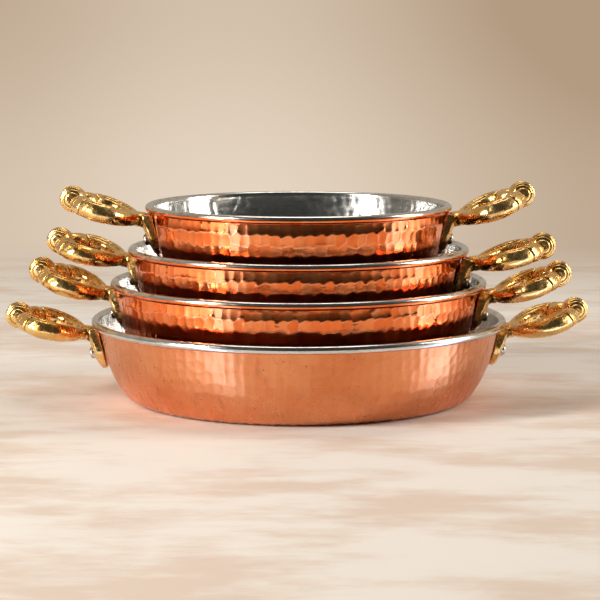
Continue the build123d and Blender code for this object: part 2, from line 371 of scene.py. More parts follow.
class Bench:
    """Modelling by Blender's operators, on one object at a time."""

    @staticmethod
    def pick(*objects: bpy.types.Object) -> None:
        """Selects objects alone and makes the first one active.

        Args:
            objects: the objects.
        """
        bpy.ops.object.select_all(action="DESELECT")
        for piece in objects:
            piece.select_set(True)
        bpy.context.view_layer.objects.active = objects[0]

    @staticmethod
    def add(kind: str, name: str, **settings: object) -> bpy.types.Object:
        """Adds a primitive.

        Args:
            kind: the primitive, as its operator names it.
            name: the new object's name.
            settings: the operator's own settings.

        Returns:
            The new object, selected alone.
        """
        bpy.ops.object.select_all(action="DESELECT")
        getattr(bpy.ops.mesh, f"primitive_{kind}_add")(**settings)
        piece = bpy.context.object
        piece.name = piece.data.name = name
        return piece

    @staticmethod
    @contextmanager
    def editing(piece: bpy.types.Object) -> Iterator[None]:
        """Edit mode on one object with all of its mesh selected.

        Args:
            piece: the object, which is back in object mode afterwards.
        """
        Bench.pick(piece)
        bpy.ops.object.mode_set(mode="EDIT")
        bpy.ops.mesh.select_all(action="SELECT")
        yield
        bpy.ops.object.mode_set(mode="OBJECT")

    @staticmethod
    def vectors(piece: bpy.types.Object, kind: str) -> np.ndarray:
        """Reads a vector of every vertex.

        Args:
            piece: the object.
            kind: the vector, as the mesh names it.

        Returns:
            One row for each vertex.
        """
        flat = np.empty(len(piece.data.vertices) * 3)
        piece.data.vertices.foreach_get(kind, flat)
        return flat.reshape(-1, 3)

    @staticmethod
    def points(piece: bpy.types.Object) -> np.ndarray:
        """Places of a mesh's vertices."""
        return Bench.vectors(piece, "co")

    @staticmethod
    def normals(piece: bpy.types.Object) -> np.ndarray:
        """Normals of a mesh's vertices."""
        return Bench.vectors(piece, "normal")

    @staticmethod
    def shape(piece: bpy.types.Object, rule: Rule) -> None:
        """Moves every vertex to where a rule puts it."""
        piece.data.vertices.foreach_set("co", rule(Bench.points(piece)).ravel())
        piece.data.update()

    @staticmethod
    def carry(piece: bpy.types.Object, name: str, values: np.ndarray) -> None:
        """Gives each vertex a value that materials can read."""
        layer = piece.data.attributes.new(name, "FLOAT", "POINT")
        layer.data.foreach_set("value", values.astype(np.float32))

    @staticmethod
    def modify(piece: bpy.types.Object, kind: str, **settings: object) -> None:
        """Adds a modifier and applies it.

        Args:
            piece: the object.
            kind: the modifier's type.
            settings: its own settings.
        """
        modifier = piece.modifiers.new(kind.title(), kind)
        for key, value in settings.items():
            setattr(modifier, key, value)
        Bench.pick(piece)
        bpy.ops.object.modifier_apply(modifier=modifier.name)

    @staticmethod
    def smooth(piece: bpy.types.Object) -> None:
        """Shades a mesh smoothly."""
        piece.data.polygons.foreach_set("use_smooth", [True] * len(piece.data.polygons))

    @staticmethod
    def put(name: str, data: bpy.types.ID) -> bpy.types.Object:
        """Puts a new object into the scene.

        Args:
            name: the object's name.
            data: its mesh, lamp or camera.

        Returns:
            The object.
        """
        holder = bpy.data.objects.new(name, data)
        bpy.context.scene.collection.objects.link(holder)
        return holder

    @staticmethod
    def coat(piece: bpy.types.Object, material: bpy.types.Material) -> None:
        """Gives an object one material alone."""
        piece.data.materials.clear()
        piece.data.materials.append(material)

    @staticmethod
    def dress(piece: bpy.types.Object, material: bpy.types.Material, body: str, slot: str) -> None:
        """Dresses a finished piece.

        Args:
            piece: the piece.
            material: its material.
            body: the body that it moves with.
            slot: its material slot; it is not used.
        """
        Bench.coat(piece, material)
        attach(piece, body)
        LOG.info("%s: %d faces", piece.name, len(piece.data.polygons))


def eased(share: np.ndarray) -> np.ndarray:
    """A share from 0 to 1 that starts and ends gently."""
    return share * share * (3 - 2 * share)


def along_curve(stations: np.ndarray, share: np.ndarray) -> np.ndarray:
    """Smooth values through stations.

    Args:
        stations: one row of values for each station.
        share: places along the curve, from 0 to 1.

    Returns:
        One row of values for each place.
    """
    spans = len(stations) - 1
    place = np.clip(share, 0, 1) * spans
    first = np.minimum(place.astype(int), spans - 1)
    u = (place - first)[:, None]
    ends = 2 * stations[0] - stations[1], 2 * stations[-1] - stations[-2]
    padded = np.vstack([ends[0], stations, ends[1]])
    a, b, c, d = (padded[first + step] for step in range(4))
    return b + 0.5 * u * ((c - a) + u * ((2 * a - 5 * b + 4 * c - d) + u * (3 * b - a - 3 * c + d)))


@dataclass
class HammerMarks:
    """Staggered rows of shallow hollows left by a hammer.

    Width, height and start are in millimetres, and the rest are shares of a mark.
    """

    width: float = 5.3
    height: float = 5.8
    start: float = -3.5
    scatter: float = 0.15
    reach: float = 0.84
    narrow: float = 1.35
    lean: float = 0.22
    lift: float = 0.15
    bowl_power: float = 1.25
    ridge_width: float = 0.45
    seed: int = 7
    rows: int = 64
    columns: int = 256

    def strike(
        self, turn: np.ndarray, along: np.ndarray, radius: np.ndarray, radius_at: Rule
    ) -> dict[str, np.ndarray]:
        """Finds the mark that each point lies in.

        Args:
            turn: angle of each point round the axis, in radians.
            along: distance of each point below the roll, along the sheet.
            radius: distance of each point from the axis.
            radius_at: distance from the axis at a distance below the roll.

        Returns:
            For each point the depth as a share of a plain mark's, how near it is to a ridge, the
            mark's own tone, and how far below the roll the mark's middle is.
        """
        chance = np.random.default_rng(self.seed).random((self.rows, self.columns, 5))
        deepest, second = np.full(len(turn), -9.0), np.full(len(turn), -9.0)
        tone, centre = np.zeros(len(turn)), np.zeros(len(turn))
        nearest_row = np.floor((along - self.start) / self.height)
        for row_step in (-1, 0, 1):
            row = nearest_row + row_step
            middle = (row + 0.5) * self.height + self.start
            count = np.maximum(3, np.round(2 * pi * radius_at(middle) / self.width))
            place = turn / (2 * pi) * count + 0.5 * (row % 2)
            for column_step in (-1, 0, 1):
                column = np.floor(place) + column_step
                draw = chance[(row % self.rows).astype(int), (column % count % self.columns).astype(int)]
                shift = (draw[:, :2] - 0.5) * 2 * self.scatter
                across = (place - column - 0.5 - shift[:, 0]) / count * 2 * pi * radius / self.width
                down = (along - middle) / self.height - shift[:, 1]
                off_middle = ((across * self.narrow) ** 2 + down**2) / self.reach**2
                leaning = 2 * self.lean * ((draw[:, 3] - 0.5) * across + (draw[:, 4] - 0.5) * down)
                bowl = 1 - off_middle**self.bowl_power + (leaning + self.lift * draw[:, 2])
                wins = bowl > deepest
                second = np.where(wins, deepest, np.maximum(second, bowl))
                deepest = np.where(wins, bowl, deepest)
                tone = np.where(wins, draw[:, 2], tone)
                centre = np.where(wins, middle + shift[:, 1] * self.height, centre)
        ridge = np.clip(1 - (deepest - second) / self.ridge_width, 0, 1)
        return {"depth": np.clip(deepest, 0, 2), "ridge": ridge, "tone": tone, "centre": centre}


@dataclass
class PanBody:
    """The raised, hammered and tinned sheet of one pan, in millimetres."""

    name: str
    rim_radius: float
    base_height: float
    rim_height: float
    turn: float
    finish: CopperFinish
    dent_depth: float = 0.30
    inside_dent_depth: float = 0.20
    dent_fade: float = 2.0
    # Stations of the wall's steeper top: distance below the roll, and how far it stands out
    band: tuple = ((0.0, 0.0), (8.1, 1.92), (20.0, 2.95), (26.0, 2.8), (38.0, 1.4), (54.0, 0.0))
    inside_band: float = 0.45
    # How far from the bend at the band's lower edge a mark is led round whole
    mark_reach: float = 4.0
    sheet: float = 1.2
    curl_inner: float = 0.85
    lean: float = 13.5
    curl_end: float = 115.0
    belly_radius: float = 60.0
    belly_foot_lean: float = 37.0
    foot_radius: float = 8.0
    fine_step: float = 0.66
    fine_reach: float = 26.0
    coarse_step: float = 2.3
    inside_fine_step: float = 1.3
    inside_coarse_step: float = 2.76
    # Rows of faces on the floor and round the roll, for the lower and the upper side of the sheet
    floor_rows: tuple = (10, 12)
    roll_rows: tuple = (9, 22)
    # Angle on the roll where the tin ends, angle over which its edge is worn, and share without wear
    tin_end: float = 9.0
    tin_spread: float = 28.0
    full_tin: float = 1.5
    lug_half_turn: float = 9.0
    lug_blend: float = 9.0

    @property
    def body(self) -> str:
        """Name of the body that the pan's pieces move with."""
        return f"{self.name}_pan"

    def curl_centre(self) -> np.ndarray:
        """Centre of the rolled rim's section."""
        return np.array([self.rim_radius - self.curl_inner - self.sheet, self.rim_height])

    def curl_point(self, radius: float, angle: np.ndarray) -> np.ndarray:
        """Points round the rolled rim's section, at angles in degrees."""
        turned = np.radians(angle)
        return self.curl_centre() + radius * np.stack([np.cos(turned), np.sin(turned)], -1)

    def bend(self, start: np.ndarray, radius: float, first: float, last: float) -> np.ndarray:
        """An arc that bends upwards.

        Args:
            start: its first point.
            radius: its radius.
            first: heading at its start, in degrees from level.
            last: heading at its end.

        Returns:
            Its points.
        """
        heading = np.radians(np.linspace(first, last, 40))
        turned = np.stack([np.sin(heading), -np.cos(heading)], -1)
        return start + radius * (turned - turned[0])

    def side(self, offset: float, curl_radius: float) -> np.ndarray:
        """One side of the sheet from the roll down to the axis.

        Args:
            offset: distance of this side inwards from the outer face.
            curl_radius: radius of this side where it starts to roll.

        Returns:
            Points of radius and height.
        """
        top = self.curl_point(curl_radius, np.array(180 - self.lean))
        foot = self.bend(np.zeros(2), self.foot_radius - offset, 0, 90 - self.belly_foot_lean)
        belly = self.bend(foot[-1], self.belly_radius - offset, 90 - self.belly_foot_lean, 90 - self.lean)
        rise = top[1] - self.base_height - offset - belly[-1, 1]
        run = rise * tan(radians(self.lean)) + belly[-1, 0]
        corner = np.array([top[0] - run, self.base_height + offset])
        floor = np.array([[0.0, corner[1]]])
        return np.vstack([floor, corner + foot, corner + belly[1:], top])[::-1]

    def resample(
        self, side: np.ndarray, fine: float, coarse: float, floor_rows: int
    ) -> tuple[np.ndarray, np.ndarray]:
        """Spaces points along one side.

        Args:
            side: the side's points, from the roll down.
            fine: spacing near the roll.
            coarse: spacing below that.
            floor_rows: number of rows on the flat floor.

        Returns:
            The spaced points, and the distance of each below the roll.
        """
        steps = np.hypot(*np.diff(side, axis=0).T)
        reach = np.concatenate([[0], np.cumsum(steps)])
        wall = reach[-2]
        spaced = [np.arange(0, self.fine_reach, fine), np.arange(self.fine_reach, wall - coarse / 2, coarse)]
        spaced.append(wall + (reach[-1] - wall) * np.linspace(0, 1, floor_rows))
        spaced = np.concatenate(spaced)
        return np.stack([np.interp(spaced, reach, side[:, k]) for k in (0, 1)], -1), spaced

    def stand_out(self, along: np.ndarray, centre: np.ndarray) -> np.ndarray:
        """How far the wall stands out where its top band is steeper than the rest.

        Args:
            along: distance of each point below the roll.
            centre: the same distance of the middle of its hammer mark.

        Returns:
            The distance, with the band's lower edge led round whole marks.
        """
        if not self.band:
            return 0 * along
        places, heights = zip(*self.band)
        slopes = np.diff(heights) / np.diff(places)
        beyond = along - places[1]
        apart = np.sign(beyond) != np.sign(centre - places[1])
        astray = apart & (np.abs(beyond) < self.mark_reach)
        return np.interp(along, places, heights) + (slopes[0] - slopes[1]) * np.abs(beyond) * astray

    def section(self) -> dict[str, np.ndarray]:
        """The closed section of the sheet, from the axis below round to the axis above.

        Returns:
            For each point its place, the distance below the roll, the face and the share of tin.
        """
        outer = self.curl_inner + self.sheet
        below, below_along = self.resample(
            self.side(0, self.curl_inner), self.fine_step, self.coarse_step, self.floor_rows[0])
        above, above_along = self.resample(
            self.side(self.sheet, outer), self.inside_fine_step, self.inside_coarse_step, self.floor_rows[1])
        rolled = np.linspace(180 - self.lean, -self.curl_end, self.roll_rows[0])[1:]
        rolled_back = np.linspace(-self.curl_end, 180 - self.lean, self.roll_rows[1])[:-1]
        roll = [self.curl_point(self.curl_inner, rolled), self.curl_point(outer, rolled_back)]
        points = [below[::-1], *roll, above]
        roll_tin = (rolled_back - self.tin_end) / self.tin_spread + 0.5
        tin = [0 * below_along, 0 * rolled, roll_tin, 0 * above_along + self.full_tin]
        along = [below_along[::-1], 0 * rolled, 0 * rolled_back, above_along]
        faces = [Face.OUTSIDE, Face.ROLL, Face.ROLL, Face.INSIDE]
        return {
            "points": np.vstack(points),
            "along": np.concatenate(along),
            "face": np.concatenate([np.full(len(a), f.value) for a, f in zip(along, faces)]),
            "tin": np.concatenate(tin),
        }

    def lathe(self, points: np.ndarray) -> bpy.types.Object:
        """Turns the section round the axis.

        Args:
            points: radius and height of each point of the section.

        Returns:
            The closed shell.
        """
        shell = Bench.add("circle", f"{self.body}_shell", vertices=len(points))
        Bench.shape(shell, lambda _: np.stack([points[:, 0], 0 * points[:, 0], points[:, 1]], -1))
        steps = MOST_QUADS // len(points)
        with Bench.editing(shell):
            bpy.ops.mesh.spin(steps=steps, angle=2 * pi, center=(0, 0, 0), axis=(0, 0, 1))
            bpy.ops.mesh.select_all(action="SELECT")
            bpy.ops.mesh.remove_doubles(threshold=0.001)
            bpy.ops.mesh.delete_loose()
            bpy.ops.mesh.select_all(action="SELECT")
            bpy.ops.mesh.normals_make_consistent(inside=False)
        return shell

    def hammer(self, shell: bpy.types.Object, section: dict[str, np.ndarray]) -> None:
        """Sinks the hammer marks and the steeper top band into the shell.

        Args:
            shell: the turned shell.
            section: its section, as section() gives it.
        """
        points = Bench.points(shell)
        radius, turn = np.hypot(points[:, 0], points[:, 1]), np.arctan2(points[:, 1], points[:, 0])
        places = section["points"]
        gaps = (radius[:, None] - places[:, 0]) ** 2 + (points[:, 2, None] - places[:, 1]) ** 2
        row = gaps.argmin(1)
        tangent = np.gradient(places, axis=0)
        tangent /= np.maximum(np.hypot(*tangent.T), 1e-9)[:, None]
        normal = np.stack([tangent[:, 1], -tangent[:, 0]], -1)[row]
        face, along = section["face"][row], section["along"][row]
        outside = section["face"] == Face.OUTSIDE.value
        known_along, known_radius = section["along"][outside][::-1], places[outside, 0][::-1]
        marks = HammerMarks().strike(turn, along, radius, lambda a: np.interp(a, known_along, known_radius))
        depth = np.where(face == Face.OUTSIDE.value, self.dent_depth, self.inside_dent_depth)
        faded = np.clip(along / self.dent_fade, 0, 1) * (radius > 1)
        sink = -marks["depth"] * depth * (face != Face.ROLL.value) * faded
        away = np.degrees(np.abs((turn - radians(self.turn) + pi / 2) % pi - pi / 2))
        clear = np.clip((away - self.lug_half_turn) / self.lug_blend, 0, 1)
        shares = np.array([1.0, 0.0, self.inside_band])[face]
        band = self.stand_out(along, marks["centre"]) * shares * eased(clear)
        moved = radius + normal[:, 0] * sink + band
        height = points[:, 2] + normal[:, 1] * sink
        Bench.shape(shell, lambda _: np.stack([moved * np.cos(turn), moved * np.sin(turn), height], -1))
        # The ridge share places the painted glint along the marks' ridges
        Bench.carry(shell, "ridge", marks["ridge"] * (face == Face.OUTSIDE.value))
        Bench.carry(shell, "tone", marks["tone"])
        Bench.carry(shell, "tin", section["tin"][row])

    def build(self) -> bpy.types.Object:
        """Makes and dresses the pan's sheet.

        Returns:
            The finished piece.
        """
        section = self.section()
        shell = self.lathe(section["points"])
        self.hammer(shell, section)
        shell.data.transform(Matrix.Scale(MM, 4))
        Bench.smooth(shell)
        Bench.dress(shell, self.finish.make(), self.body, "copper_body")
        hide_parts(f"{self.body}_body")
        return shell


@dataclass
class CastHandle:
    """One cast brass handle in its own frame: the roll's outer edge at the origin, X outwards."""

    lean: float = 13.5
    curl_outer: float = 2.05
    curl_inner: float = 0.85
    lug_clearance: float = 0.1
    lug_width: float = 22.0
    lug_top: float = 3.2
    lug_tip: float = 26.0
    lug_root_thickness: float = 7.6
    lug_tip_thickness: float = 4.6
    lug_crown: float = 2.4
    # Shares of the way down the lug: where it is widest, and where its tip starts to thin
    lug_shoulder: float = 0.55
    lug_thin_start: float = 0.7
    lug_thinning: float = 1.5
    lug_tip_power: float = 2.2
    neck_width: float = 14.0
    reach: float = 38.0
    half_width: float = 22.5
    drop: float = 5.9
    neck_reach: float = 6.5
    tilt: float = 16.8
    knob_radius: float = 7.2
    knob_half_width: float = 8.0
    knob_lift: float = 0.8
    knob_ribs: int = 9
    knob_rib_depth: float = 0.75
    # Ribs: where they start behind the knob's middle, the length in which they fade in, and how far from
    # the knob's surface they reach, as a share of its size
    rib_start: float = -4.5
    rib_fade: float = 2.0
    rib_reach: float = 0.14
    rib_power: float = 0.7
    bulb_radius: float = 5.3
    bulb_half_length: float = 7.6
    bulb_place: tuple = (0.845, 0.565)
    rivet_drop: float = 16.5
    seat_radius: float = 3.5
    seat_depth: float = 0.7
    voxel: float = 0.4
    kept_share: float = 0.5
    # Veins on the leaf's top, in shares of its half thickness and half height, and the stretch they run
    vein_span: tuple = (0.2, 0.8)
    veins: tuple = ((-0.55, 0.9), (-0.1, 1.0), (0.45, 0.92))
    vein_depth: float = 0.35
    vein_width: float = 0.55
    # The cut between leaf and bulb, at shares of the loop's reach and half width
    cut_place: tuple = (0.775, 0.79)
    cut_facing: tuple = (0.62, -0.66, 0.42)
    cut_reach: float = 8.0
    cut_depth: float = 0.6
    cut_width: float = 0.5
    skin_grains: tuple = (0.42, 0.95)
    skin_depth: float = 0.16
    hollow_depth: float = 0.12
    hollow_rounds: int = 6
    # Leaf stations: place along the reach and across the half width, half thickness, half height
    leaf_stations: tuple = (
        (0.10, 0.02, 3.1, 3.2),
        (0.17, 0.34, 3.4, 3.6),
        (0.28, 0.68, 3.9, 4.2),
        (0.44, 0.95, 4.5, 4.8),
        (0.61, 1.00, 4.8, 5.2),
        (0.75, 0.88, 4.8, 5.1),
        (0.86, 0.67, 4.5, 4.8),
        (0.94, 0.46, 3.0, 3.2),
    )
    # Neck stations: place outwards, place upwards, half width, half height
    neck_stations: tuple = (
        (-4.4, -13.0, 7.4, 2.4),
        (-2.6, -9.6, 7.2, 3.4),
        (0.6, -7.0, 6.7, 4.0),
        (5.0, -6.2, 6.7, 4.0),
        (10.0, -4.9, 5.2, 3.2),
    )
    # Directions that the leaf's facets face, in degrees above outwards, and how sharp their edges are
    facets: tuple = (36.0, -44.0, -105.0, 180.0, 108.0)
    facet_power: int = 4
    # How blunt the ends of leaf and neck are
    end_power: int = 8

    def loop_height(self, reach: np.ndarray) -> np.ndarray:
        """Height of the loop's middle plane at a distance out from the rim."""
        return -self.drop + (reach - self.neck_reach) * tan(radians(self.tilt))

    def on_loop(self, out: float, side: float) -> tuple[float, float, float]:
        """A place on the loop's middle plane, in shares of its reach and half width."""
        return self.reach * out, self.half_width * side, self.loop_height(self.reach * out)

    def leaf_rows(self) -> np.ndarray:
        """Stations of the leaf: x, y, z, half thickness and half height."""
        return np.array([(*self.on_loop(out, side), *halves) for out, side, *halves in self.leaf_stations])

    def lug_thickness(self, share: np.ndarray | float) -> np.ndarray | float:
        """Thickness of the lug at a share of the way down it."""
        return self.lug_root_thickness + (self.lug_tip_thickness - self.lug_root_thickness) * share

    def lug_frame(self) -> Matrix:
        """Finds the frame of the lug's flat back.

        Returns:
            The frame, with X across, Y up the wall and Z away from it.
        """
        out = Vector((cos(radians(self.lean)), 0, -sin(radians(self.lean))))
        up = Vector((sin(radians(self.lean)), 0, cos(radians(self.lean))))
        origin = Vector((-self.curl_outer, 0, 0)) + out * (self.lug_clearance - self.curl_inner)
        turned = Matrix((Vector((0, 1, 0)), up, out)).transposed()
        return Matrix.Translation(origin) @ turned.to_4x4()

    def lug(self) -> bpy.types.Object:
        """Makes the tongue against the wall.

        Returns:
            The tongue, crowned outside, thin and round at its tip.
        """
        tongue = Bench.add("cube", "lug", size=2)
        with Bench.editing(tongue):
            bpy.ops.mesh.subdivide(number_cuts=30)

        def rule(p: np.ndarray) -> np.ndarray:
            """Leads the cube's points to the tongue.

            Args:
                p: the points.

            Returns:
                Their places in the lug's frame.
            """
            share = (1 - p[:, 1]) / 2
            up = -self.lug_top - (self.lug_tip - self.lug_top) * share
            widening = np.sin(np.clip(share / self.lug_shoulder, 0, 1) * pi / 2)
            swell = self.neck_width + (self.lug_width - self.neck_width) * widening
            below = np.clip((share - self.lug_shoulder) / (1 - self.lug_shoulder), 0, 1)
            across = p[:, 0] * swell / 2 * np.sqrt(np.clip(1 - below**self.lug_tip_power, 0, 1))
            near_tip = np.clip((share - self.lug_thin_start) / (1 - self.lug_thin_start), 0, 1)
            edge = np.abs(p[:, 0]) ** 2 * self.lug_crown + self.lug_thinning * near_tip**2
            out = (p[:, 2] + 1) / 2 * (self.lug_thickness(share) - edge)
            return np.stack([across, up, out], -1)

        Bench.shape(tongue, rule)
        tongue.data.transform(self.lug_frame())
        return tongue

    def limb(self, name: str, stations: np.ndarray, outer: Rule) -> bpy.types.Object:
        """A long form along a curve, with an oval or faceted section.

        Args:
            name: the object's name.
            stations: rows of x, y, z, half thickness and half height.
            outer: the section's size at an angle, as a share.

        Returns:
            The closed form.
        """
        form = Bench.add("uv_sphere", name, segments=64, ring_count=90, radius=1)

        def rule(p: np.ndarray) -> np.ndarray:
            """Leads the sphere's points to the form, pole to pole along the curve.

            Args:
                p: the points.

            Returns:
                Their places.
            """
            share = np.arccos(np.clip(-p[:, 2], -1, 1)) / pi
            angle = np.arctan2(p[:, 1], p[:, 0])
            here = along_curve(stations, share)
            ahead = along_curve(stations, share + 0.01) - along_curve(stations, share - 0.01)
            heading = ahead[:, :3] / np.linalg.norm(ahead[:, :3], axis=1)[:, None]
            across = np.cross([0.0, 0.0, 1.0], heading)
            across /= np.linalg.norm(across, axis=1)[:, None]
            up = np.cross(heading, across)
            close = (1 - np.abs(2 * share - 1) ** self.end_power) ** 0.5 * outer(angle)
            wide = (here[:, 3] * close * np.cos(angle))[:, None]
            high = (here[:, 4] * close * np.sin(angle))[:, None]
            return here[:, :3] + across * wide + up * high

        Bench.shape(form, rule)
        return form

    def faceted(self, angle: np.ndarray) -> np.ndarray:
        """Size of the leaf's section at an angle, flat on its facets and edged between them."""
        faced = [np.clip(np.cos(angle - radians(f)), 0, 1) ** self.facet_power for f in self.facets]
        return np.clip(sum(faced), 1e-6, None) ** (-1 / self.facet_power)

    def branch(self) -> list[bpy.types.Object]:
        """Makes the branch on the side of +Y.

        Returns:
            Its leaf and its bulb.
        """
        leaf = self.limb("leaf", self.leaf_rows(), self.faceted)
        bulb = Bench.add("uv_sphere", "bulb", segments=48, ring_count=32, radius=self.bulb_radius)
        centre = Vector(self.on_loop(*self.bulb_place))
        knob = Vector((self.reach, self.knob_half_width, self.loop_height(self.reach)))
        stretch = Matrix.Diagonal((self.bulb_half_length / self.bulb_radius, 1, 1, 1))
        turned = (knob - centre).to_track_quat("X", "Z").to_matrix().to_4x4()
        bulb.data.transform(Matrix.Translation(centre) @ turned @ stretch)
        return [leaf, bulb]

    def knob_centre(self) -> np.ndarray:
        """Centre of the ribbed knob."""
        return np.array([self.reach, 0, self.loop_height(self.reach) + self.knob_lift])

    def knob(self) -> bpy.types.Object:
        """Makes the plain ball of the knob.

        Returns:
            The ball, before its ribs are cut.
        """
        ball = Bench.add("uv_sphere", "knob", segments=64, ring_count=48, radius=self.knob_radius)
        widened = Matrix.Diagonal((1, self.knob_half_width / self.knob_radius, 1, 1))
        ball.data.transform(Matrix.Translation(self.knob_centre()) @ widened)
        return ball

    def ribs(self, points: np.ndarray) -> np.ndarray:
        """Finds the grooves between the knob's ribs.

        Args:
            points: places on the casting.

        Returns:
            Their depth at each point.
        """
        from_knob = points - self.knob_centre()
        size = np.array([self.knob_radius, self.knob_half_width, self.knob_radius])
        shell = np.linalg.norm(from_knob / size, axis=1)
        on_shell = np.clip(1 - np.abs(shell - 1) / self.rib_reach, 0, 1) ** 0.5
        on_front = np.clip((from_knob[:, 0] - self.rib_start) / self.rib_fade, 0, 1)
        pitch = 2 * self.knob_half_width / self.knob_ribs
        rib = 1 - np.abs(np.cos(pi * points[:, 1] / pitch)) ** self.rib_power
        return self.knob_rib_depth * rib * (on_shell * on_front)

    def grooves(self, points: np.ndarray) -> np.ndarray:
        """Finds the veins along the leaves and the cuts between leaf and bulb.

        Args:
            points: places on the casting.

        Returns:
            Their depth at each point.
        """
        line = along_curve(self.leaf_rows(), np.linspace(*self.vein_span, 60))
        folded = points * [1, 0, 1] + np.abs(points[:, 1:2]) * [0, 1, 0]
        middle, height, thick, high = (np.interp(points[:, 0], line[:, 0], line[:, k]) for k in (1, 2, 3, 4))
        on_leaf = (points[:, 0] > line[0, 0]) & (points[:, 0] < line[-1, 0])
        depth = np.zeros(len(points))
        for side, up in self.veins:
            aside, above = folded[:, 1] - middle - side * thick, points[:, 2] - height - up * high
            depth += self.vein_depth * np.exp(-(np.hypot(aside, above) / self.vein_width) ** 2) * on_leaf
        facing = np.array(self.cut_facing)
        from_cut = folded - self.on_loop(*self.cut_place)
        near_cut = np.abs(from_cut @ (facing / np.linalg.norm(facing)))
        on_cut = np.linalg.norm(from_cut, axis=1) < self.cut_reach
        return depth + self.cut_depth * np.exp(-(near_cut / self.cut_width) ** 2) * on_cut

    def skin(self, points: np.ndarray) -> np.ndarray:
        """Finds the soft unevenness of the cast skin.

        Args:
            points: places on the casting.

        Returns:
            Its depth at each point.
        """
        coarse, fine = self.skin_grains
        uneven = [noise.noise(Vector(p) * coarse) + 0.5 * noise.noise(Vector(p) * fine) for p in points]
        return self.skin_depth * (np.array(uneven) + 0.5)

    def seated(self, points: np.ndarray) -> np.ndarray:
        """Flattens the lug round its rivet.

        Args:
            points: places on the casting.

        Returns:
            The places, with none above the rivet's seat.
        """
        from_lug, to_lug = np.array(self.lug_frame()), np.array(self.lug_frame().inverted())
        local = points @ to_lug[:3, :3].T + to_lug[:3, 3]
        share = (self.rivet_drop - self.lug_top) / (self.lug_tip - self.lug_top)
        seat = self.lug_thickness(share) - self.seat_depth
        off_axis = np.hypot(local[:, 0], local[:, 1] + self.rivet_drop)
        over = np.clip(local[:, 2] - seat, 0, None) * (off_axis < self.seat_radius)
        return points - over[:, None] * from_lug[:3, 2]

    def carve(self, casting: bpy.types.Object) -> None:
        """Cuts the ribs, the grooves, the skin and the rivet's seat.

        Args:
            casting: the casting.
        """
        points = Bench.points(casting)
        sink = self.ribs(points) + self.grooves(points) + self.skin(points)
        moved = self.seated(points - Bench.normals(casting) * sink[:, None])
        Bench.shape(casting, lambda _: moved)

    def hollows(self, casting: bpy.types.Object) -> np.ndarray:
        """Finds how hollow the surface is.

        Args:
            casting: the casting.

        Returns:
            A share from 0 to 1 for each vertex.
        """
        mesh = casting.data
        points = Bench.points(casting)
        ends = np.empty(len(mesh.edges) * 2, np.int32)
        mesh.edges.foreach_get("vertices", ends)
        first, second = ends.reshape(-1, 2).T
        value = points.copy()
        near, far = np.concatenate([first, second]), np.concatenate([second, first])
        count = np.maximum(np.bincount(near, minlength=len(points)), 1)
        for _ in range(self.hollow_rounds):
            sums = [np.bincount(near, value[far, axis], len(points)) for axis in range(3)]
            value = np.stack(sums, -1) / count[:, None]
        lift = np.einsum("ij,ij->i", value - points, Bench.normals(casting))
        return np.clip(lift / self.hollow_depth, 0, 1)

    def trued(self, points: np.ndarray, tilt: float) -> np.ndarray:
        """Bends the casting at its neck.

        Args:
            points: places on the casting.
            tilt: rise of the loop that is wanted, in degrees.

        Returns:
            The places after the bend.
        """
        share = np.clip(points[:, 0] / (2 * self.neck_reach), 0, 1)
        turn = radians(tilt - self.tilt) * eased(share)
        out, up = points[:, 0] - self.neck_reach, points[:, 2] + self.drop
        bent_out = out * np.cos(turn) - up * np.sin(turn) + self.neck_reach
        bent_up = out * np.sin(turn) + up * np.cos(turn) - self.drop
        return np.stack([bent_out, points[:, 1], bent_up], -1)

    def build(self) -> bpy.types.Object:
        """Joins the forms into one casting and finishes its skin.

        Returns:
            The casting in its own frame, in millimetres.
        """
        neck_rows = np.array([(x, 0, z, w, h) for x, z, w, h in self.neck_stations])
        neck = self.limb("neck", neck_rows, lambda angle: np.ones_like(angle))
        branch = self.branch()
        other = []
        for form in branch:
            twin = Bench.put(f"other_{form.name}", form.data.copy())
            twin.data.transform(Matrix.Diagonal((1, -1, 1, 1)))
            twin.data.flip_normals()
            other.append(twin)
        forms = [self.lug(), neck, *branch, *other, self.knob()]
        Bench.pick(*forms)
        bpy.ops.object.join()
        casting = forms[0]
        casting.name = casting.data.name = "casting"
        Bench.modify(casting, "REMESH", mode="VOXEL", voxel_size=self.voxel)
        with Bench.editing(casting):
            bpy.ops.mesh.vertices_smooth(factor=0.5, repeat=3)
        self.carve(casting)
        Bench.modify(casting, "DECIMATE", ratio=self.kept_share)
        Bench.carry(casting, "hollow", self.hollows(casting))
        Bench.smooth(casting)
        return casting


